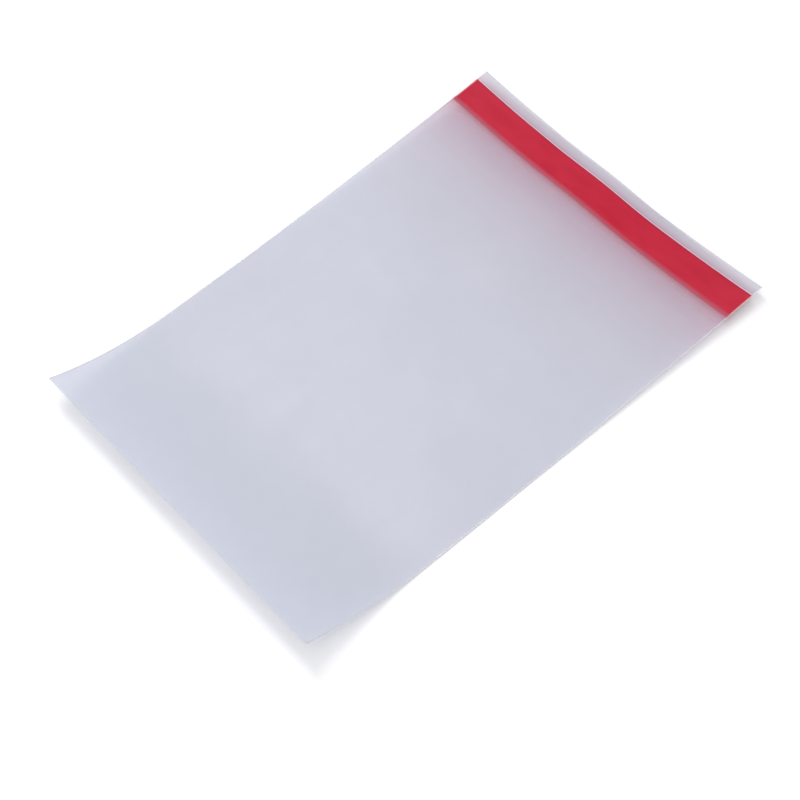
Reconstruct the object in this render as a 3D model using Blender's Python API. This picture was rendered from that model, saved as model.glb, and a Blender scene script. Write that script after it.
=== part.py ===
"""Self-seal film bag, lying flat and empty, with its fold end curled up.

One web of clear film is folded into a pouch whose side edges are welded. Its back panel runs on past
the mouth as a lip. A band of adhesive lies across the back panel just inside the mouth, under a red
release liner. X is across the bag, Y runs from the fold to the mouth and Z is up.
"""

import math

import bmesh
import bpy

# Sizes are in metres.
BAG_WIDTH = 0.140  # over both side welds
BAG_LENGTH = 0.200  # along the film, from the fold to the edge of the lip
FILM_THICKNESS = 0.00005  # each panel
LIP_LENGTH = 0.0045  # back panel past the mouth
WELD_WIDTH = 0.0005  # bead that the hot cut leaves along each side
WELD_THICKNESS = 0.00018  # of the bead at the cut edge
FOLD_OPENING = 0.0003  # inner height of the fold, where the film springs back
SIDE_OPENING = 0.00012  # inner height beside the welds
AIR_OPENING = 0.0009  # most that the panels lie apart in the middle

ADHESIVE_WIDTH = 0.009
ADHESIVE_THICKNESS = 0.00005
LINER_WIDTH = 0.012
LINER_THICKNESS = 0.00006
LINER_SET_BACK = 0.0003  # from the mouth edge of the front panel
CLEARANCE = 0.0003  # between pieces that touch
STRIP_RAMP = 0.012  # length over which the front panel rises onto the strip

CURL_LENGTH = 0.053  # film that curls up at the fold end
CURL_LIFT = 0.011  # height of the fold above the flat part
TROUGH_START = 0.070  # from here to the lip the side edges rise
CORNER_LIFT = 0.0046  # height of the lip's corners

HALF_COLUMNS = 7  # across each half of the bag
CURL_ROWS = 8
BODY_ROWS = 8
RAMP_ROWS = 3

FILM_COLOUR = (0.62, 0.63, 0.72)
FILM_ALPHA = 0.45
ADHESIVE_COLOUR = (0.86, 0.84, 0.80)
LINER_COLOUR = (0.55, 0.03, 0.055)

# What follows from the sizes
MOUTH = BAG_LENGTH - LIP_LENGTH
INNER_HALF = BAG_WIDTH / 2 - WELD_WIDTH
LINER_END = MOUTH - LINER_SET_BACK
LINER_START = LINER_END - LINER_WIDTH
RAMP_START = LINER_START - STRIP_RAMP
ADHESIVE_START = LINER_START + (LINER_WIDTH - ADHESIVE_WIDTH) / 2
STRIP_HALF = INNER_HALF - CLEARANCE
ADHESIVE_LOW = FILM_THICKNESS + CLEARANCE
LINER_LOW = ADHESIVE_LOW + ADHESIVE_THICKNESS + CLEARANCE
STRIP_OPENING = LINER_LOW + LINER_THICKNESS + CLEARANCE - FILM_THICKNESS

# A section through the flat pouch is drawn on seven levels: the outer faces are the first and the last,
# the inner faces the second and the last but one, and those between round the fold.
TOP = 6
TOUCH = 1e-6


def clear_scene():
    for item in list(bpy.data.objects):
        bpy.data.objects.remove(item)


def material(name, colour, roughness, alpha=1.0):
    made = bpy.data.materials.new(name)
    made.use_nodes = True
    shader = made.node_tree.nodes["Principled BSDF"]
    shader.inputs["Base Color"].default_value = (*colour, 1)
    shader.inputs["Roughness"].default_value = roughness
    shader.inputs["Metallic"].default_value = 0
    shader.inputs["Alpha"].default_value = alpha
    return made


def smooth(value):
    """Rises from 0 to 1 with a level start and end."""
    value = min(max(value, 0), 1)
    return value * value * (3 - 2 * value)


def spaced(low, high, count):
    """Ends and even steps of a span parted into count pieces."""
    return [low + (high - low) * i / count for i in range(count + 1)]


def columns():
    """Places across the bag where the film can bend, less the two welds."""
    return spaced(-INNER_HALF, INNER_HALF, 2 * HALF_COLUMNS)[1:-1]


def rows():
    """Places along the film where it can bend: the curl, one flat stretch, the body and the strip."""
    curl = spaced(0, CURL_LENGTH, CURL_ROWS)[1:]
    body = spaced(TROUGH_START, RAMP_START, BODY_ROWS)
    ramp = spaced(RAMP_START, LINER_START, RAMP_ROWS)[1:]
    return curl + body + ramp


def opening(x, along):
    """Inner height of the pouch: air in the middle, pinched at the welds and the fold, full at the strip."""
    across = 1 - min(abs(x) / INNER_HALF, 1) ** 3
    past_fold = smooth(along / CURL_LENGTH)
    edge = FOLD_OPENING + (SIDE_OPENING - FOLD_OPENING) * past_fold
    body = edge + (AIR_OPENING - edge) * across * past_fold
    on_strip = smooth((along - RAMP_START) / STRIP_RAMP)
    return body + (STRIP_OPENING - body) * on_strip


def curled(along, high):
    """Y from the flat stretch's own zero and Z of a point of the flat bag, with the fold end on its arc."""
    radius = CURL_LENGTH**2 / (2 * CURL_LIFT)
    angle = max(CURL_LENGTH - along, 0) / radius
    y = along if angle == 0 else CURL_LENGTH - (radius - high) * math.sin(angle)
    return y, radius - (radius - high) * math.cos(angle)


def lie(point):
    """Takes a point of the flat bag to its place in the bag as it lies, centred, with its mouth a trough."""
    x, along, high = point
    y, z = curled(along, high)
    fold_y = curled(0, FILM_THICKNESS + FOLD_OPENING / 2)[0]
    reach = max(along - TROUGH_START, 0) / (BAG_LENGTH - TROUGH_START)
    z += CORNER_LIFT * reach**2 * (2 * x / BAG_WIDTH) ** 2
    return x, y - (fold_y + BAG_LENGTH) / 2, z


def box(low, high):
    """A plain closed box between two corners."""
    bm = bmesh.new()
    bmesh.ops.create_cube(bm, size=1)
    for vert in bm.verts:
        vert.co = [a + (b - a) * (c + 0.5) for a, b, c in zip(low, high, vert.co)]
    return bm


def cut(bm, axis, places):
    """Parts every face that crosses a place along an axis, so that the body can bend there."""
    for place in places:
        at = [0, 0, 0]
        normal = [0, 0, 0]
        at[axis] = place
        normal[axis] = 1
        everything = bm.verts[:] + bm.edges[:] + bm.faces[:]
        bmesh.ops.bisect_plane(bm, geom=everything, dist=TOUCH, plane_co=at, plane_no=normal)


def draw_out(bm, faces, distance):
    """Moves faces along Y, with new walls behind them."""
    moved = bmesh.ops.extrude_face_region(bm, geom=faces)["geom"]
    moved_verts = [item for item in moved if isinstance(item, bmesh.types.BMVert)]
    bmesh.ops.delete(bm, geom=faces, context="FACES")
    bmesh.ops.translate(bm, verts=moved_verts, vec=(0, distance, 0))


def crease(bm):
    """Parts each face that lies in the sheet along the diagonal that runs from the fold and the middle to
    the mouth and the side. Where the sheet twists, both faces of a thin wall then bend alike and never meet."""
    bm.normal_update()
    in_sheet = [face for face in bm.faces if abs(face.normal.z) > 0.5 and len(face.verts) == 4]
    for face in in_sheet:
        corners = sorted(face.verts, key=lambda vert: vert.co.y + abs(vert.co.x))
        bmesh.utils.face_split(face, corners[0], corners[-1])


def finish(bm, name, look, collection):
    """Lays the flat body as the bag lies and makes it a named object."""
    for vert in bm.verts:
        vert.co = lie(vert.co)
    bmesh.ops.recalc_face_normals(bm, faces=bm.faces)
    mesh = bpy.data.meshes.new(name)
    bm.to_mesh(mesh)
    bm.free()
    mesh.shade_smooth()
    mesh.set_sharp_from_angle(angle=math.radians(35))
    mesh.materials.append(look)
    collection.objects.link(bpy.data.objects.new(name, mesh))


def pouch_point(x, along, level):
    """Turns a point drawn on the levels into one of the flat pouch, at its real heights."""
    level = round(level)
    inner = opening(x, along)
    in_pocket = abs(x) < INNER_HALF + TOUCH and FILM_THICKNESS - TOUCH < along
    if in_pocket and 0 < level < TOP:
        turn = math.pi * (level - 1) / (TOP - 2)
        height, start, low = inner, FILM_THICKNESS, FILM_THICKNESS
        at_fold = along < FILM_THICKNESS + TOUCH
    else:
        turn = math.pi * level / TOP
        on_weld = abs(x) > INNER_HALF + TOUCH
        height = WELD_THICKNESS if on_weld else inner + 2 * FILM_THICKNESS
        start, low = 0, 0
        at_fold = along < TOUCH
    if at_fold:
        along = start + height / 2 * (1 - math.sin(turn))
    rise = height * (1 - math.cos(turn)) / 2
    if level == 1 and not at_fold:
        rise, low = FILM_THICKNESS, 0
    return x, along, low + rise


def film_pouch(collection):
    bm = box((-BAG_WIDTH / 2, 0, 0), (BAG_WIDTH / 2, MOUTH, TOP))
    cut(bm, 2, range(1, TOP))
    cut(bm, 0, (-INNER_HALF, INNER_HALF))
    bm.normal_update()
    mouth_end = [face for face in bm.faces if face.normal.y > 0.5]
    hollow, lip = [], []
    for face in mouth_end:
        middle = face.calc_center_median()
        if middle.z < 1:
            lip.append(face)
        elif middle.z < TOP - 1 and abs(middle.x) < INNER_HALF:
            hollow.append(face)
    draw_out(bm, lip, LIP_LENGTH)
    draw_out(bm, hollow, FILM_THICKNESS - MOUTH)
    cut(bm, 0, columns())
    cut(bm, 1, rows())
    crease(bm)
    for vert in bm.verts:
        vert.co = pouch_point(*vert.co)
    finish(bm, "film_pouch", material("clear_film", FILM_COLOUR, 0.35, FILM_ALPHA), collection)


def band(name, start, width, low, thickness, look, collection):
    """A flat band across the bag, just inside the welds."""
    bm = box((-STRIP_HALF, start, low), (STRIP_HALF, start + width, low + thickness))
    cut(bm, 0, columns())
    crease(bm)
    finish(bm, name, look, collection)


def adhesive_strip(collection):
    look = material("adhesive", ADHESIVE_COLOUR, 0.3)
    band("adhesive_strip", ADHESIVE_START, ADHESIVE_WIDTH, ADHESIVE_LOW, ADHESIVE_THICKNESS, look, collection)


def release_liner(collection):
    look = material("red_liner", LINER_COLOUR, 0.35)
    band("release_liner", LINER_START, LINER_WIDTH, LINER_LOW, LINER_THICKNESS, look, collection)


clear_scene()
bag = bpy.data.collections.new("self_seal_bag")
bpy.context.scene.collection.children.link(bag)
film_pouch(bag)
adhesive_strip(bag)
release_liner(bag)
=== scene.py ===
"""Looks of a self-seal film bag that lies flat and empty, with its fold end curled up."""
import math

import bpy
from mathutils import Matrix, Vector


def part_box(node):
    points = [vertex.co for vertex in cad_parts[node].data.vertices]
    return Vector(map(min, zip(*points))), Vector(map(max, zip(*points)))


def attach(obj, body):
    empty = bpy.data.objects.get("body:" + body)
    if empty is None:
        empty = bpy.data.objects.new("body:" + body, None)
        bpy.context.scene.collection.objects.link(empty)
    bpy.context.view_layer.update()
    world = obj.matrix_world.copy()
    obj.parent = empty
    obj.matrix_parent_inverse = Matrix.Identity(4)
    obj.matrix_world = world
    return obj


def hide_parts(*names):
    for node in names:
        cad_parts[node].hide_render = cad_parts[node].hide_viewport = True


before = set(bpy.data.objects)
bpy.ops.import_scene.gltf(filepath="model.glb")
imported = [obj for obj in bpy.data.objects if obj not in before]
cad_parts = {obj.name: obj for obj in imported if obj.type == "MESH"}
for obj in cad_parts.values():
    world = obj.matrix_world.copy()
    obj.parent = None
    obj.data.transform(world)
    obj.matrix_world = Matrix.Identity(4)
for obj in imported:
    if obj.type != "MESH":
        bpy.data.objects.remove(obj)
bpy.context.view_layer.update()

# How the bag lies
# Every piece is drawn on the flat bag first, where X is across it, Y is the way along the film from the
# fold and Z is the height above the table. One node group then lays them all as the film lies: its fold
# end curls up, its mouth is a shallow trough, and long soft waves run through it.
MM = 0.001
bag_low, bag_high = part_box("film_pouch")
BAG_WIDTH = bag_high.x - bag_low.x
BAG_LENGTH = 200 * MM
SHIFT = BAG_LENGTH - bag_high.y  # from the fold's zero to the middle of the bag
CURL_LENGTH = 53 * MM
CURL_LIFT = 11 * MM
TROUGH_START = 70 * MM
CORNER_LIFT = 4.6 * MM
RIDGE_HEIGHT = 1.1 * MM  # of the low ridge in the middle of the trough
RIDGE_PLACE = -3 * MM  # from the middle of the bag
RIDGE_REACH = 26 * MM
WAVE_HEIGHT = 0.35 * MM
WAVE_LENGTH = 80 * MM
WAVE_FROM = 0.35  # value of the noise at which the film starts to lift
WAVE_FULL = 0.75
PUCKER_HEIGHT = 0.10 * MM  # of the small ripples that the weld's heat draws into the side edges
PUCKER_LENGTH = 5 * MM
PUCKER_REACH = 4 * MM


def put(tree, kind, inputs=(), **settings):
    """Adds a node with its settings. Inputs come in order, or by name or number in a dict, and each takes
    a node (its first output), a socket or a plain value."""
    node = tree.nodes.new(kind)
    for name, value in settings.items():
        setattr(node, name, value)
    for key, value in inputs.items() if isinstance(inputs, dict) else enumerate(inputs):
        if isinstance(value, bpy.types.Node):
            value = value.outputs[0]
        if isinstance(value, bpy.types.NodeSocket):
            tree.links.new(value, node.inputs[key])
        else:
            node.inputs[key].default_value = value
    return node


def new_tree(name, sizes, takes_shape=False):
    """A new Geometry Nodes tree with a named input for each size, and for a shape if it works on one. The
    sockets that give their values come with it."""
    tree = bpy.data.node_groups.new(name, "GeometryNodeTree")
    if takes_shape:
        tree.interface.new_socket("Geometry", in_out="INPUT", socket_type="NodeSocketGeometry")
    for label, value in sizes.items():
        kind = "Int" if isinstance(value, int) else "Float"
        if isinstance(value, bpy.types.Material):
            kind = "Material"
        tree.interface.new_socket(label, in_out="INPUT", socket_type="NodeSocket" + kind)
    tree.interface.new_socket("Geometry", in_out="OUTPUT", socket_type="NodeSocketGeometry")
    return tree, tree.nodes.new("NodeGroupInput").outputs


LAY_SIZES = {
    "Half Width": BAG_WIDTH / 2,
    "Length": BAG_LENGTH,
    "Shift": SHIFT,
    "Curl Length": CURL_LENGTH,
    "Curl Lift": CURL_LIFT,
    "Trough Start": TROUGH_START,
    "Corner Lift": CORNER_LIFT,
    "Ridge Height": RIDGE_HEIGHT,
    "Ridge Place": RIDGE_PLACE,
    "Ridge Reach": RIDGE_REACH,
    "Wave Height": WAVE_HEIGHT,
    "Wave Length": WAVE_LENGTH,
    "Pucker Height": PUCKER_HEIGHT,
    "Pucker Length": PUCKER_LENGTH,
    "Pucker Reach": PUCKER_REACH,
}
lay, given = new_tree("lay the film down", LAY_SIZES, takes_shape=True)
x, along, high = put(lay, "ShaderNodeSeparateXYZ", [put(lay, "GeometryNodeInputPosition")]).outputs
flat_spot = put(lay, "ShaderNodeCombineXYZ", [x, along])

# The curl is an arc that starts level where the flat stretch ends
curl = given["Curl Length"]
curl_squared = put(lay, "ShaderNodeMath", [curl, curl], operation="MULTIPLY")
twice_lift = put(lay, "ShaderNodeMath", [given["Curl Lift"], 2], operation="MULTIPLY")
radius = put(lay, "ShaderNodeMath", [curl_squared, twice_lift], operation="DIVIDE")
into_curl = put(lay, "ShaderNodeMath", [curl, along], operation="SUBTRACT")
into_curl = put(lay, "ShaderNodeMath", [into_curl, 0], operation="MAXIMUM")
past_curl = put(lay, "ShaderNodeMath", [along, curl], operation="MAXIMUM")
angle = put(lay, "ShaderNodeMath", [into_curl, radius], operation="DIVIDE")
arm = put(lay, "ShaderNodeMath", [radius, high], operation="SUBTRACT")
back = put(lay, "ShaderNodeMath", [angle], operation="SINE")
back = put(lay, "ShaderNodeMath", [arm, back], operation="MULTIPLY")
down = put(lay, "ShaderNodeMath", [angle], operation="COSINE")
down = put(lay, "ShaderNodeMath", [arm, down], operation="MULTIPLY")
y = put(lay, "ShaderNodeMath", [past_curl, back], operation="SUBTRACT")
y = put(lay, "ShaderNodeMath", [y, given["Shift"]], operation="SUBTRACT")
z = put(lay, "ShaderNodeMath", [radius, down], operation="SUBTRACT")

# The trough rises with the square of the way towards the lip and of the way out to the side
reach = put(lay, "ShaderNodeMapRange", [along, given["Trough Start"], given["Length"], 0, 1])
across = put(lay, "ShaderNodeMath", [x, given["Half Width"]], operation="DIVIDE")
slope = put(lay, "ShaderNodeMath", [reach, across], operation="MULTIPLY")
slope = put(lay, "ShaderNodeMath", [slope, 2], operation="POWER")
z = put(lay, "ShaderNodeMath", [slope, given["Corner Lift"], z], operation="MULTIPLY_ADD")

# A low ridge stands in the middle of the trough and grows towards the lip in the same way
off_ridge = put(lay, "ShaderNodeMath", [x, given["Ridge Place"]], operation="SUBTRACT")
off_ridge = put(lay, "ShaderNodeMath", [off_ridge], operation="ABSOLUTE")
ridge = put(lay, "ShaderNodeMapRange", [off_ridge, 0, given["Ridge Reach"], 1, 0],
            interpolation_type="SMOOTHSTEP")
ridge = put(lay, "ShaderNodeMath", [ridge, reach], operation="MULTIPLY")
ridge = put(lay, "ShaderNodeMath", [ridge, reach], operation="MULTIPLY")
z = put(lay, "ShaderNodeMath", [ridge, given["Ridge Height"], z], operation="MULTIPLY_ADD")

# Soft waves lift the film, and never press it into the table
wave_scale = put(lay, "ShaderNodeMath", [1, given["Wave Length"]], operation="DIVIDE")
wave = put(lay, "ShaderNodeTexNoise", {"Vector": flat_spot, "Scale": wave_scale, "Detail": 1.0},
           noise_dimensions="2D")
wave = put(lay, "ShaderNodeMapRange", [wave, WAVE_FROM, WAVE_FULL, 0, given["Wave Height"]],
           interpolation_type="SMOOTHSTEP")
z = put(lay, "ShaderNodeMath", [z, wave], operation="ADD")

# The side edges pucker a little along their welds
outwards = put(lay, "ShaderNodeMath", [x], operation="ABSOLUTE")
inwards = put(lay, "ShaderNodeMath", [given["Half Width"], outwards], operation="SUBTRACT")
near_weld = put(lay, "ShaderNodeMapRange", [inwards, 0, given["Pucker Reach"], 1, 0],
                interpolation_type="SMOOTHSTEP")
pucker_scale = put(lay, "ShaderNodeMath", [1, given["Pucker Length"]], operation="DIVIDE")
pucker = put(lay, "ShaderNodeTexNoise", {"Vector": flat_spot, "Scale": pucker_scale, "Detail": 0.0},
             noise_dimensions="2D")
pucker = put(lay, "ShaderNodeMath", [pucker, near_weld], operation="MULTIPLY")
z = put(lay, "ShaderNodeMath", [pucker, given["Pucker Height"], z], operation="MULTIPLY_ADD")

laid_spot = put(lay, "ShaderNodeCombineXYZ", [x, y, z])
laid = put(lay, "GeometryNodeSetPosition", {"Geometry": given["Geometry"], "Position": laid_spot})
put(lay, "NodeGroupOutput", [laid])


def lay_down(tree, shape, material):
    """Ends a piece's tree: the shape is laid as the film lies, made real and given its material."""
    group = put(tree, "GeometryNodeGroup", node_tree=lay)
    for socket in group.inputs:
        if socket.name in LAY_SIZES:
            socket.default_value = LAY_SIZES[socket.name]
    tree.links.new(shape.outputs[0], group.inputs["Geometry"])
    real = put(tree, "GeometryNodeRealizeInstances", [group])
    put(tree, "NodeGroupOutput", [put(tree, "GeometryNodeSetMaterial", {0: real, "Material": material})])


# Film web
# The bag is one web of polypropylene film, 0.05 mm thick. It is folded once across the bottom, so that the
# front panel lies on the back panel with a little air between them, and its back panel runs on as a lip.
FILM = 0.05 * MM
FOLD_GAP = 0.30 * MM  # inner height of the fold
SIDE_GAP = 0.10 * MM  # inner height beside the welds
AIR_GAP = 0.85 * MM  # most that the panels lie apart
STRIP_GAP = 0.19 * MM  # inner height over the adhesive and its liner
AIR_POWER = 3  # how late the gap closes towards the sides
UNEVEN_LENGTH = 35 * MM  # of the places where the air lies thinner or thicker
UNEVEN_THIN = 0.7  # share of the gap there
UNEVEN_THICK = 1.15
WELD_HALF = 0.25 * MM  # half the width of the bead along each side
liner_low, liner_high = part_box("release_liner")
LINER_START = liner_low.y + SHIFT
LINER_END = liner_high.y + SHIFT
LINER_SET_BACK = 0.3 * MM
MOUTH = LINER_END + LINER_SET_BACK  # edge of the front panel
RAMP_LENGTH = 12 * MM  # over which the front panel settles onto the strip
COLUMNS = 84
PANEL_ROWS = 150
FOLD_ROWS = 8
NOISE_RANGE = (0.3, 0.7)  # that the values of a noise texture mostly keep to
PATCH_RANGE = (0.35, 0.65)  # narrower, so that whole patches reach either end
SHARP_ANGLE = math.radians(50)  # past which an edge shows as cut


def grow(name, tree, sizes, wall=0.0):
    """A plain mesh object of what a tree makes from the sizes, with a wall round the drawn sheet if asked."""
    piece = bpy.data.objects.new(name, bpy.data.meshes.new(name))
    bpy.context.scene.collection.objects.link(piece)
    shape = piece.modifiers.new("shape", "NODES")
    shape.node_group = tree
    for item in tree.interface.items_tree:
        if item.in_out == "INPUT":
            shape[item.identifier] = sizes[item.name]
    if wall:
        solid = piece.modifiers.new("wall", "SOLIDIFY")
        solid.thickness = wall
        solid.offset = 0
    made = piece.evaluated_get(bpy.context.evaluated_depsgraph_get())
    mesh = bpy.data.meshes.new_from_object(made)
    mesh.materials.pop(index=0)  # the empty slot that the tree's own shapes begin with
    piece.modifiers.clear()
    piece.data = mesh
    mesh.shade_smooth()
    mesh.set_sharp_from_angle(angle=SHARP_ANGLE)
    return piece


def linear(code):
    """Linear RGBA of an sRGB hex colour."""
    parts = [int(code[i : i + 2], 16) / 255 for i in (1, 3, 5)]
    return (*[c / 12.92 if c <= 0.04045 else ((c + 0.055) / 1.055) ** 2.4 for c in parts], 1)


# Clear polypropylene film, cast and slit: milky where it lies free, and clear where it lies tight on the
# liner.
# A painted pink glow and shade spreads from the liner's edge into its colour. Its satin skin has faint
# streaks from the casting roller.
FILM_COLOUR = "#E4E7F4"
FILM_IOR = 1.49
FILM_BODY = 0.36  # share of light that each face stops
CLOUD_BODY = 0.05  # by which that share drifts along the film
CLOUD_LENGTH = 45 * MM
TIGHT_BODY = 0.004  # where the film lies tight on the liner
TIGHT_FROM = -0.1 * MM  # from the liner's inner edge
TIGHT_FULL = 2.0 * MM
LIP_BODY = 0.50
WIDE_PAINTED_GLOW = "#C87EA0"  # painted glow and shade: the liner's red, darkened, carried far into the film
WIDE_SHARE = 0.58  # at the liner's edge
WIDE_REACH = 18 * MM  # over which it falls to a third
NEAR_PAINTED_GLOW = "#D2506C"  # painted red glow and shade close beside it
NEAR_SHARE = 0.70
NEAR_REACH = 1.3 * MM
# Painted shade: the lip's film is drawn darker than the rest of the film
LIP_SHADED_COLOUR = "#CFCBD8"
# Painted red glow on the lip, falling off from the mouth
LIP_PAINTED_GLOW = "#C07A9C"
LIP_GLOW_SHARE = 0.70
LIP_GLOW_REACH = 1.4 * MM
RIM_HIGHLIGHT_COLOUR = "#F8CFE0"  # painted highlight along the cut edge of the front panel
RIM_BODY = 0.70
RIM_WIDTH = 0.45 * MM
STREAK_WIDTH = 4 * MM
STREAK_LENGTH = 80 * MM
STREAK_DEPTH = 0.01 * MM
STREAK_STRENGTH = 0.12
SMOOTHEST = 0.33  # roughness between the streaks and on them
DULLEST = 0.38

film_look = bpy.data.materials.new("satin polypropylene film")
film_look.use_nodes = True
tree = film_look.node_tree
shader = tree.nodes["Principled BSDF"]
sheet = put(tree, "ShaderNodeAttribute", attribute_name="sheet").outputs["Vector"]
_, along, front = put(tree, "ShaderNodeSeparateXYZ", [sheet]).outputs
from_liner = put(tree, "ShaderNodeMath", [along, LINER_START], operation="SUBTRACT")
# Painted pink glow and shade near the liner: a wide one and a close one
wide_painted_glow = put(tree, "ShaderNodeMath", [from_liner, WIDE_REACH], operation="DIVIDE")
wide_painted_glow = put(tree, "ShaderNodeMath", [wide_painted_glow], operation="EXPONENT", use_clamp=True)
wide_painted_glow = put(tree, "ShaderNodeMath", [wide_painted_glow, WIDE_SHARE], operation="MULTIPLY")
near_painted_glow = put(tree, "ShaderNodeMath", [from_liner, NEAR_REACH], operation="DIVIDE")
near_painted_glow = put(tree, "ShaderNodeMath", [near_painted_glow], operation="EXPONENT", use_clamp=True)
near_painted_glow = put(tree, "ShaderNodeMath", [near_painted_glow, NEAR_SHARE], operation="MULTIPLY")
on_lip = put(tree, "ShaderNodeMath", [along, LINER_END], operation="GREATER_THAN")
to_mouth = put(tree, "ShaderNodeMath", [MOUTH, along], operation="SUBTRACT")
# Painted red glow on the lip, strongest at the mouth
lip_painted_glow = put(tree, "ShaderNodeMath", [to_mouth, LIP_GLOW_REACH], operation="DIVIDE")
lip_painted_glow = put(tree, "ShaderNodeMath", [lip_painted_glow], operation="EXPONENT", use_clamp=True)
lip_painted_glow = put(tree, "ShaderNodeMath", [lip_painted_glow, on_lip], operation="MULTIPLY")
lip_painted_glow = put(tree, "ShaderNodeMath", [lip_painted_glow, LIP_GLOW_SHARE], operation="MULTIPLY")
# Painted highlight: a light, more opaque band along the front panel's cut edge
rim_highlight = put(tree, "ShaderNodeMapRange", [along, MOUTH - RIM_WIDTH, MOUTH - RIM_WIDTH / 2, 0, 1])
rim_highlight = put(tree, "ShaderNodeMath", [rim_highlight, front], operation="MULTIPLY")
colour = linear(FILM_COLOUR)
for share, tint in (
    (wide_painted_glow, WIDE_PAINTED_GLOW),
    (near_painted_glow, NEAR_PAINTED_GLOW),
    (on_lip, LIP_SHADED_COLOUR),
    (lip_painted_glow, LIP_PAINTED_GLOW),
    (rim_highlight, RIM_HIGHLIGHT_COLOUR),
):
    # Inputs 6 and 7 of a Mix node are its two colours, and output 2 is the mix
    mix = put(tree, "ShaderNodeMix", {"Factor": share, 6: colour, 7: linear(tint)}, data_type="RGBA")
    colour = mix.outputs[2]
tight = put(tree, "ShaderNodeMapRange", [from_liner, TIGHT_FROM, TIGHT_FULL, 0, 1])
tight = put(tree, "ShaderNodeMath", [tight, front], operation="MULTIPLY")
clouds = put(tree, "ShaderNodeTexNoise", {"Vector": sheet, "Scale": 1 / CLOUD_LENGTH, "Detail": 2.0})
thinnest, densest = FILM_BODY - CLOUD_BODY / 2, FILM_BODY + CLOUD_BODY / 2
clouds = put(tree, "ShaderNodeMapRange", [clouds, *PATCH_RANGE, thinnest, densest])
body = put(tree, "ShaderNodeMapRange", [tight, 0, 1, clouds, TIGHT_BODY])
body = put(tree, "ShaderNodeMapRange", [on_lip, 0, 1, body, LIP_BODY])
body = put(tree, "ShaderNodeMapRange", [rim_highlight, 0, 1, body, RIM_BODY])
streak_scale = (1 / STREAK_WIDTH, 1 / STREAK_LENGTH, 0)
streak_spot = put(tree, "ShaderNodeVectorMath", [sheet, streak_scale], operation="MULTIPLY")
streaks = put(tree, "ShaderNodeTexNoise", {"Vector": streak_spot, "Scale": 1.0, "Detail": 2.0})
roughness = put(tree, "ShaderNodeMapRange", [streaks, *NOISE_RANGE, SMOOTHEST, DULLEST])
bump = put(tree, "ShaderNodeBump", {"Height": streaks, "Distance": STREAK_DEPTH, "Strength": STREAK_STRENGTH})
tree.links.new(colour, shader.inputs["Base Color"])
tree.links.new(body.outputs[0], shader.inputs["Alpha"])
tree.links.new(roughness.outputs[0], shader.inputs["Roughness"])
tree.links.new(bump.outputs[0], shader.inputs["Normal"])
shader.inputs["IOR"].default_value = FILM_IOR

WEB_SIZES = {
    "Width": BAG_WIDTH - 2 * WELD_HALF,
    "Length": BAG_LENGTH,
    "Mouth": MOUTH,
    "Film": FILM,
    "Fold Gap": FOLD_GAP,
    "Side Gap": SIDE_GAP,
    "Air Gap": AIR_GAP,
    "Strip Gap": STRIP_GAP,
    "Curl Length": CURL_LENGTH,
    "Ramp Start": LINER_START - RAMP_LENGTH,
    "Ramp End": LINER_START,
    "Uneven Length": UNEVEN_LENGTH,
    "Columns": COLUMNS,
    "Panel Rows": PANEL_ROWS,
    "Fold Rows": FOLD_ROWS,
}
web, given = new_tree("folded web", WEB_SIZES)

# The web starts as a grid whose Y counts its rows: down the front panel, round the fold, up the back
both_panels = put(web, "ShaderNodeMath", [given["Panel Rows"], 2], operation="MULTIPLY")
all_rows = put(web, "ShaderNodeMath", [both_panels, given["Fold Rows"]], operation="ADD")
corners_x = put(web, "ShaderNodeMath", [given["Columns"], 1], operation="ADD")
corners_y = put(web, "ShaderNodeMath", [all_rows, 1], operation="ADD")
grid = put(web, "GeometryNodeMeshGrid", [given["Width"], all_rows, corners_x, corners_y])
x, row, _ = put(web, "ShaderNodeSeparateXYZ", [put(web, "GeometryNodeInputPosition")]).outputs
row = put(web, "ShaderNodeMath", [all_rows, 0.5, row], operation="MULTIPLY_ADD")
fold_end = put(web, "ShaderNodeMath", [given["Panel Rows"], given["Fold Rows"]], operation="ADD")
down_front = put(web, "ShaderNodeMapRange", [row, 0, given["Panel Rows"], 0, 1])
round_fold = put(web, "ShaderNodeMapRange", [row, given["Panel Rows"], fold_end, 0, math.pi])
up_back = put(web, "ShaderNodeMapRange", [row, fold_end, all_rows, 0, 1])

# Round the fold the film runs on half a circle, whose middle lies one radius and half a film from the end
fold_height = put(web, "ShaderNodeMath", [given["Fold Gap"], given["Film"]], operation="ADD")
fold_radius = put(web, "ShaderNodeMath", [fold_height, 0.5], operation="MULTIPLY")
half_film = put(web, "ShaderNodeMath", [given["Film"], 0.5], operation="MULTIPLY")
fold_middle = put(web, "ShaderNodeMath", [fold_radius, half_film], operation="ADD")
front_along = put(web, "ShaderNodeMapRange", [down_front, 0, 1, given["Mouth"], fold_middle])
back_run = put(web, "ShaderNodeMath", [given["Length"], fold_middle], operation="SUBTRACT")
bulge = put(web, "ShaderNodeMath", [round_fold], operation="SINE")
along = put(web, "ShaderNodeMath", [up_back, back_run, front_along], operation="MULTIPLY_ADD")
bulge = put(web, "ShaderNodeMath", [bulge, fold_radius], operation="MULTIPLY")
along = put(web, "ShaderNodeMath", [along, bulge], operation="SUBTRACT")
front = put(web, "ShaderNodeMath", [round_fold], operation="COSINE")
front = put(web, "ShaderNodeMath", [front, 0.5, 0.5], operation="MULTIPLY_ADD")

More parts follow.
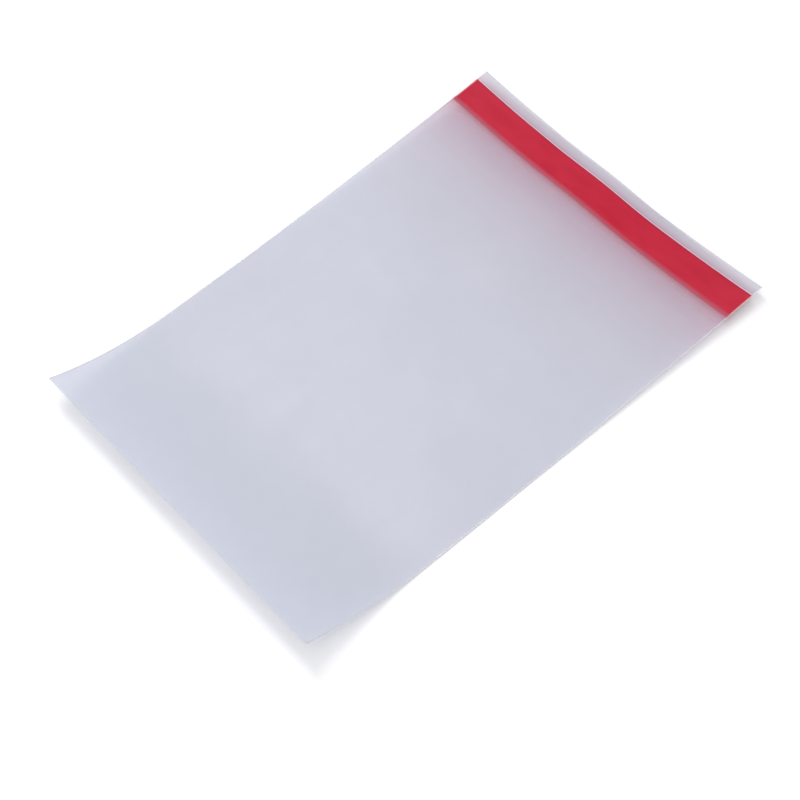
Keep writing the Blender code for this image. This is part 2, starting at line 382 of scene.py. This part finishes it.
# The gap between the panels is pinched at the fold and the sides, full of air in the middle and tight on
# the strip
half_width = put(web, "ShaderNodeMath", [given["Width"], 0.5], operation="MULTIPLY")
outwards = put(web, "ShaderNodeMath", [x, half_width], operation="DIVIDE")
outwards = put(web, "ShaderNodeMath", [outwards], operation="ABSOLUTE")
outwards = put(web, "ShaderNodeMath", [outwards, AIR_POWER], operation="POWER")
middle = put(web, "ShaderNodeMath", [1, outwards], operation="SUBTRACT", use_clamp=True)
past_fold = put(web, "ShaderNodeMapRange", [along, 0, given["Curl Length"], 0, 1],
                interpolation_type="SMOOTHSTEP")
side = put(web, "ShaderNodeMapRange", [past_fold, 0, 1, given["Fold Gap"], given["Side Gap"]])
puff = put(web, "ShaderNodeMath", [middle, past_fold], operation="MULTIPLY")
gap = put(web, "ShaderNodeMapRange", [puff, 0, 1, side, given["Air Gap"]])
flat_spot = put(web, "ShaderNodeCombineXYZ", [x, along])
uneven_scale = put(web, "ShaderNodeMath", [1, given["Uneven Length"]], operation="DIVIDE")
uneven = put(web, "ShaderNodeTexNoise", {"Vector": flat_spot, "Scale": uneven_scale, "Detail": 1.0},
             noise_dimensions="2D")
uneven = put(web, "ShaderNodeMapRange", [uneven, *NOISE_RANGE, UNEVEN_THIN, UNEVEN_THICK])
gap = put(web, "ShaderNodeMath", [gap, uneven], operation="MULTIPLY")
on_strip = put(web, "ShaderNodeMapRange", [along, given["Ramp Start"], given["Ramp End"], 0, 1],
               interpolation_type="SMOOTHSTEP")
gap = put(web, "ShaderNodeMapRange", [on_strip, 0, 1, gap, given["Strip Gap"]])
lift = put(web, "ShaderNodeMath", [gap, given["Film"]], operation="ADD")
high = put(web, "ShaderNodeMath", [front, lift, half_film], operation="MULTIPLY_ADD")

# Each point keeps its place in the sheet for the finish: X, the way along and 1 on the front panel
sheet_spot = put(web, "ShaderNodeCombineXYZ", [x, along, front])
marked = put(web, "GeometryNodeStoreNamedAttribute", {"Geometry": grid, "Name": "sheet", "Value": sheet_spot},
             data_type="FLOAT_VECTOR", domain="POINT")
folded_spot = put(web, "ShaderNodeCombineXYZ", [x, along, high])
folded = put(web, "GeometryNodeSetPosition", {"Geometry": marked, "Position": folded_spot})
lay_down(web, folded, film_look)
film_web = grow("film_web", web, WEB_SIZES, wall=FILM)
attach(film_web, "root")
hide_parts("film_pouch")

# Side welds
# A hot knife cuts the bags apart and melts both panels together in the same stroke. It leaves a thin clear
# bead of set polypropylene along each side, which runs on thinner up the edge of the lip.
WELD_HIGH = 0.22 * MM
LIP_WELD_HIGH = 0.09 * MM
WELD_STEPS = 420
BEAD_SIDES = 10

# Polypropylene that has melted and set: glassy, with small lumps where the knife dragged it. Its colour is
# partly a painted highlight, drawn near white so that the bead shows as a bright line
WELD_COLOUR_AND_HIGHLIGHT = "#F8F8FD"
WELD_DARK = "#E2E3EC"
WELD_PAINTED_GLOW = "#F5BAC0"  # painted red glow beside the liner, whose red would shine into the bead
WELD_BODY = 0.80
LUMP_BODY = 0.15  # by which the lumps change it
LUMP_LENGTH = 1.2 * MM
WELD_ROUGHNESS = 0.12

weld_look = bpy.data.materials.new("melted polypropylene bead")
weld_look.use_nodes = True
tree = weld_look.node_tree
shader = tree.nodes["Principled BSDF"]
spot = put(tree, "ShaderNodeTexCoord").outputs["Object"]
lumps = put(tree, "ShaderNodeTexNoise", {"Vector": spot, "Scale": 1 / LUMP_LENGTH, "Detail": 2.0})
colour = put(tree, "ShaderNodeMix", {"Factor": lumps, 6: linear(WELD_COLOUR_AND_HIGHLIGHT), 7: linear(WELD_DARK)},
             data_type="RGBA").outputs[2]
_, y, _ = put(tree, "ShaderNodeSeparateXYZ", [spot]).outputs
# Painted red glow where the bead runs beside the liner
past_start = put(tree, "ShaderNodeMath", [y, liner_low.y], operation="GREATER_THAN")
before_end = put(tree, "ShaderNodeMath", [y, liner_high.y], operation="LESS_THAN")
painted_glow_by_liner = put(tree, "ShaderNodeMath", [past_start, before_end], operation="MULTIPLY")
colour = put(tree, "ShaderNodeMix", {"Factor": painted_glow_by_liner, 6: colour, 7: linear(WELD_PAINTED_GLOW)},
             data_type="RGBA").outputs[2]
body = put(tree, "ShaderNodeMapRange", [lumps, *NOISE_RANGE, WELD_BODY - LUMP_BODY, WELD_BODY + LUMP_BODY])
tree.links.new(colour, shader.inputs["Base Color"])
tree.links.new(body.outputs[0], shader.inputs["Alpha"])
shader.inputs["Roughness"].default_value = WELD_ROUGHNESS
shader.inputs["IOR"].default_value = FILM_IOR

BEAD_SIZES = {
    "Side": BAG_WIDTH / 2 - WELD_HALF,
    "Half Width": WELD_HALF,
    "Height": WELD_HIGH,
    "Lip Height": LIP_WELD_HIGH,
    "Start": FILM,
    "Mouth": MOUTH,
    "End": BAG_LENGTH,
    "Steps": WELD_STEPS,
}
beads, given = new_tree("weld beads", BEAD_SIZES)
circle = {"Resolution": BEAD_SIDES, "Radius": given["Half Width"]}
profile = put(beads, "GeometryNodeCurvePrimitiveCircle", circle)
tubes = []
for way in (1, -1):
    side = put(beads, "ShaderNodeMath", [given["Side"], way], operation="MULTIPLY")
    start = put(beads, "ShaderNodeCombineXYZ", [side, given["Start"]])
    end = put(beads, "ShaderNodeCombineXYZ", [side, given["End"]])
    line = put(beads, "GeometryNodeCurvePrimitiveLine", {"Start": start, "End": end})
    line = put(beads, "GeometryNodeResampleCurve", {"Curve": line, "Count": given["Steps"]})
    tube = put(beads, "GeometryNodeCurveToMesh", {"Curve": line, "Profile Curve": profile, "Fill Caps": True})
    tubes.append(tube)
both = put(beads, "GeometryNodeJoinGeometry", [tubes[0]])
beads.links.new(tubes[1].outputs[0], both.inputs[0])
x, along, high = put(beads, "ShaderNodeSeparateXYZ", [put(beads, "GeometryNodeInputPosition")]).outputs
heights = [along, given["Mouth"], given["End"], given["Height"], given["Lip Height"]]
height = put(beads, "ShaderNodeMapRange", heights, interpolation_type="SMOOTHSTEP")
half_height = put(beads, "ShaderNodeMath", [height, 0.5], operation="MULTIPLY")
flatness = put(beads, "ShaderNodeMath", [half_height, given["Half Width"]], operation="DIVIDE")
high = put(beads, "ShaderNodeMath", [high, flatness, half_height], operation="MULTIPLY_ADD")
flattened = put(beads, "ShaderNodeCombineXYZ", [x, along, high])
shaped = put(beads, "GeometryNodeSetPosition", {"Geometry": both, "Position": flattened})
lay_down(beads, shaped, weld_look)
side_welds = grow("side_welds", beads, BEAD_SIZES)
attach(side_welds, "root")
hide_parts("film_pouch")

# Adhesive strip
# A band of permanent pressure-sensitive adhesive, coated across the back panel just inside the mouth. It
# stays soft and tacky under its liner until the bag is closed.
adhesive_low, adhesive_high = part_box("adhesive_strip")
ADHESIVE_THICK = 0.05 * MM
ADHESIVE_GAP = 0.01 * MM  # so that it and the film share no face
ADHESIVE_AT = FILM + ADHESIVE_GAP + ADHESIVE_THICK / 2
ADHESIVE_ROWS = 8

# Acrylic adhesive: clear, wet-looking and a little yellow, with fine bubbles from the coater
ADHESIVE_COLOUR = "#E4DFD2"
ADHESIVE_DARK = "#CFC9BA"
ADHESIVE_IOR = 1.47
ADHESIVE_ROUGHNESS = 0.08
BUBBLE_SIZE = 0.8 * MM
BUBBLE_RANGE = (0.1, 0.6)  # way from a bubble's middle to the next one's
BUBBLE_BODY = (0.55, 0.75)  # share of light stopped at either end of it

adhesive_look = bpy.data.materials.new("acrylic adhesive")
adhesive_look.use_nodes = True
tree = adhesive_look.node_tree
shader = tree.nodes["Principled BSDF"]
spot = put(tree, "ShaderNodeTexCoord").outputs["Object"]
bubbles = put(tree, "ShaderNodeTexVoronoi", {"Vector": spot, "Scale": 1 / BUBBLE_SIZE}, feature="SMOOTH_F1")
bubbly = put(tree, "ShaderNodeMapRange", [bubbles, *BUBBLE_RANGE, *BUBBLE_BODY])
colour = put(tree, "ShaderNodeMix", {"Factor": bubbles, 6: linear(ADHESIVE_COLOUR), 7: linear(ADHESIVE_DARK)},
             data_type="RGBA")
tree.links.new(colour.outputs[2], shader.inputs["Base Color"])
tree.links.new(bubbly.outputs[0], shader.inputs["Alpha"])
shader.inputs["Roughness"].default_value = ADHESIVE_ROUGHNESS
shader.inputs["IOR"].default_value = ADHESIVE_IOR

ADHESIVE_SIZES = {
    "Width": adhesive_high.x - adhesive_low.x,
    "Start": adhesive_low.y + SHIFT,
    "End": adhesive_high.y + SHIFT,
    "Height": ADHESIVE_AT,
    "Columns": COLUMNS,
    "Rows": ADHESIVE_ROWS,
    "Material": adhesive_look,
}
band, given = new_tree("band across the bag", ADHESIVE_SIZES)
length = put(band, "ShaderNodeMath", [given["End"], given["Start"]], operation="SUBTRACT")
sum_of_ends = put(band, "ShaderNodeMath", [given["End"], given["Start"]], operation="ADD")
middle = put(band, "ShaderNodeMath", [sum_of_ends, 0.5], operation="MULTIPLY")
grid = put(band, "GeometryNodeMeshGrid", [given["Width"], length, given["Columns"], given["Rows"]])
offset = put(band, "ShaderNodeCombineXYZ", [0, middle, given["Height"]])
placed = put(band, "GeometryNodeSetPosition", {"Geometry": grid, "Offset": offset})
lay_down(band, placed, given["Material"])
adhesive_band = grow("adhesive_band", band, ADHESIVE_SIZES, wall=ADHESIVE_THICK)
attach(adhesive_band, "root")
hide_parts("adhesive_strip")

# Release liner
# A red tape of silicone-coated polyester film, 12 mm wide, laid over the adhesive from weld to weld. It is
# peeled off when the bag is closed.
LINER_THICK = 0.05 * MM
LINER_GAP = 0.015 * MM  # below the front panel, so that they share no face
LINER_AT = FILM + STRIP_GAP - LINER_GAP - LINER_THICK / 2
LINER_ROWS = 10

# Dyed polyester release tape: even satin red, a touch darker where the adhesive has wetted it from below,
# with a painted shadow along its edge towards the mouth
LINER_COLOUR = "#C5203C"
LINER_DARK = "#BE1D37"
LINER_EDGE_SHADOW = "#8F2A4A"  # painted shadow of the front panel's cut edge, along the slit edge towards the mouth
EDGE_START = 0.5 * MM  # from that edge
EDGE_FULL = 0.1 * MM
LINER_IOR = 1.41
LINER_SPECULAR = 0.2
DRY_ROUGHNESS = 0.38
WET_ROUGHNESS = 0.30
WETTING_LENGTH = 12 * MM
WETTING_STRETCH = (1, 3, 1)  # the wetted patches run across the bag, as the tape does

liner_look = bpy.data.materials.new("red polyester release tape")
liner_look.use_nodes = True
tree = liner_look.node_tree
shader = tree.nodes["Principled BSDF"]
spot = put(tree, "ShaderNodeTexCoord").outputs["Object"]
stretched = put(tree, "ShaderNodeVectorMath", [spot, WETTING_STRETCH], operation="MULTIPLY")
wetting = put(tree, "ShaderNodeTexNoise", {"Vector": stretched, "Scale": 1 / WETTING_LENGTH, "Detail": 3.0})
wetting = put(tree, "ShaderNodeMapRange", [wetting, *PATCH_RANGE, 0, 1])
colour = put(tree, "ShaderNodeMix", {"Factor": wetting, 6: linear(LINER_COLOUR), 7: linear(LINER_DARK)},
             data_type="RGBA").outputs[2]
_, y, _ = put(tree, "ShaderNodeSeparateXYZ", [spot]).outputs
# Painted shadow along the liner's edge towards the mouth
painted_edge_shadow = put(tree, "ShaderNodeMapRange", [y, liner_high.y - EDGE_START, liner_high.y - EDGE_FULL, 0, 1])
colour = put(tree, "ShaderNodeMix", {"Factor": painted_edge_shadow, 6: colour, 7: linear(LINER_EDGE_SHADOW)},
             data_type="RGBA").outputs[2]
roughness = put(tree, "ShaderNodeMapRange", [wetting, 0, 1, DRY_ROUGHNESS, WET_ROUGHNESS])
tree.links.new(colour, shader.inputs["Base Color"])
tree.links.new(roughness.outputs[0], shader.inputs["Roughness"])
shader.inputs["IOR"].default_value = LINER_IOR
shader.inputs["Specular IOR Level"].default_value = LINER_SPECULAR

LINER_SIZES = {
    "Width": BAG_WIDTH - 4 * WELD_HALF,
    "Start": LINER_START,
    "End": LINER_END,
    "Height": LINER_AT,
    "Columns": COLUMNS,
    "Rows": LINER_ROWS,
    "Material": liner_look,
}
release_tape = grow("release_tape", band, LINER_SIZES, wall=LINER_THICK)
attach(release_tape, "root")
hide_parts("release_liner")

# Studio
# A white table, soft light from above and behind, and the camera at the photograph's angle. The camera
# sees the table lifted to white, more so far out, where the lamps don't reach.
TABLE_SIZE = 6.0
TABLE_DROP = 0.03 * MM  # so that the film's underside and the table share no plane
TABLE_COLOUR = "#F4F4F6"
TABLE_ROUGHNESS = 0.9
TABLE_LIFT = 0.14  # light that the camera alone sees, so that the lit table is white
FAR_LIFT = 0.60  # the same where the lamps don't reach
LAMP_REACH = 0.35  # round the bag, where they light the table fully
LAMP_END = 1.6

bpy.ops.mesh.primitive_plane_add(size=TABLE_SIZE, location=(0, 0, -TABLE_DROP))
table = bpy.context.object
table.name = "table"
table_look = bpy.data.materials.new("white table")
table_look.use_nodes = True
tree = table_look.node_tree
shader = tree.nodes["Principled BSDF"]
shader.inputs["Base Color"].default_value = linear(TABLE_COLOUR)
shader.inputs["Roughness"].default_value = TABLE_ROUGHNESS
shader.inputs["Specular IOR Level"].default_value = 0.0
rays = put(tree, "ShaderNodeLightPath").outputs
seen = put(tree, "ShaderNodeMath", [rays["Is Camera Ray"], rays["Is Glossy Ray"]], operation="MAXIMUM")
seen = put(tree, "ShaderNodeMath", [seen, rays["Is Transmission Ray"]], operation="MAXIMUM")
spot = put(tree, "ShaderNodeTexCoord").outputs["Object"]
from_bag = put(tree, "ShaderNodeVectorMath", [spot], operation="LENGTH").outputs["Value"]
lift = put(tree, "ShaderNodeMapRange", [from_bag, LAMP_REACH, LAMP_END, TABLE_LIFT, FAR_LIFT],
           interpolation_type="SMOOTHSTEP")
lift = put(tree, "ShaderNodeMath", [seen, lift], operation="MULTIPLY")
tree.links.new(lift.outputs[0], shader.inputs["Emission Strength"])
shader.inputs["Emission Color"].default_value = (1, 1, 1, 1)
table.data.materials.append(table_look)

WORLD_STRENGTH = 0.52
world = bpy.data.worlds.new("studio")
bpy.context.scene.world = world
world.use_nodes = True
tree = world.node_tree
rays = put(tree, "ShaderNodeLightPath").outputs
seen = put(tree, "ShaderNodeMath", [rays["Is Camera Ray"], rays["Is Transmission Ray"]], operation="MAXIMUM")
strength = put(tree, "ShaderNodeMapRange", [seen, 0, 1, WORLD_STRENGTH, 1.0])
background = tree.nodes["Background"]
background.inputs["Color"].default_value = (1, 1, 1, 1)
tree.links.new(strength.outputs[0], background.inputs["Strength"])


def lamp(name, place, aim, width, height, power):
    """A soft lamp that shines from a place to the point it is aimed at."""
    light = bpy.data.lights.new(name, "AREA")
    light.shape = "RECTANGLE"
    light.size = width
    light.size_y = height
    light.energy = power
    holder = bpy.data.objects.new(name, light)
    holder.location = place
    holder.rotation_euler = (Vector(aim) - Vector(place)).to_track_quat("-Z", "Y").to_euler()
    bpy.context.scene.collection.objects.link(holder)


lamp("overhead", place=(0.32, -0.22, 1.3), aim=(0, 0, 0), width=1.2, height=1.2, power=5.0)
# Its soft reflection is the bright band across the film
lamp("sheen", place=(-0.42, 0.125, 0.90), aim=(0, -0.04, 0), width=0.20, height=0.60, power=3.5)

AZIMUTH = math.radians(59.497)
ELEVATION = math.radians(55.684)
ROLL = math.radians(-11.937)
DISTANCE = 0.74721
AIM = Vector((0.01503, -0.01592, 0))
SENSOR = 36  # in mm, as the lens
LENS = 100.366

camera = bpy.data.objects.new("camera", bpy.data.cameras.new("camera"))
camera.data.sensor_width = SENSOR
camera.data.lens = LENS
camera.data.clip_start = 0.01
turn = Matrix.Rotation(AZIMUTH, 4, "Z") @ Matrix.Rotation(math.pi / 2 - ELEVATION, 4, "X")
turn = turn @ Matrix.Rotation(ROLL, 4, "Z")
towards = Vector((
    math.sin(AZIMUTH) * math.cos(ELEVATION),
    -math.cos(AZIMUTH) * math.cos(ELEVATION),
    math.sin(ELEVATION),
))
camera.matrix_world = Matrix.Translation(AIM + DISTANCE * towards) @ turn
bpy.context.scene.collection.objects.link(camera)
bpy.context.scene.camera = camera
bpy.context.scene.view_settings.view_transform = "Standard"
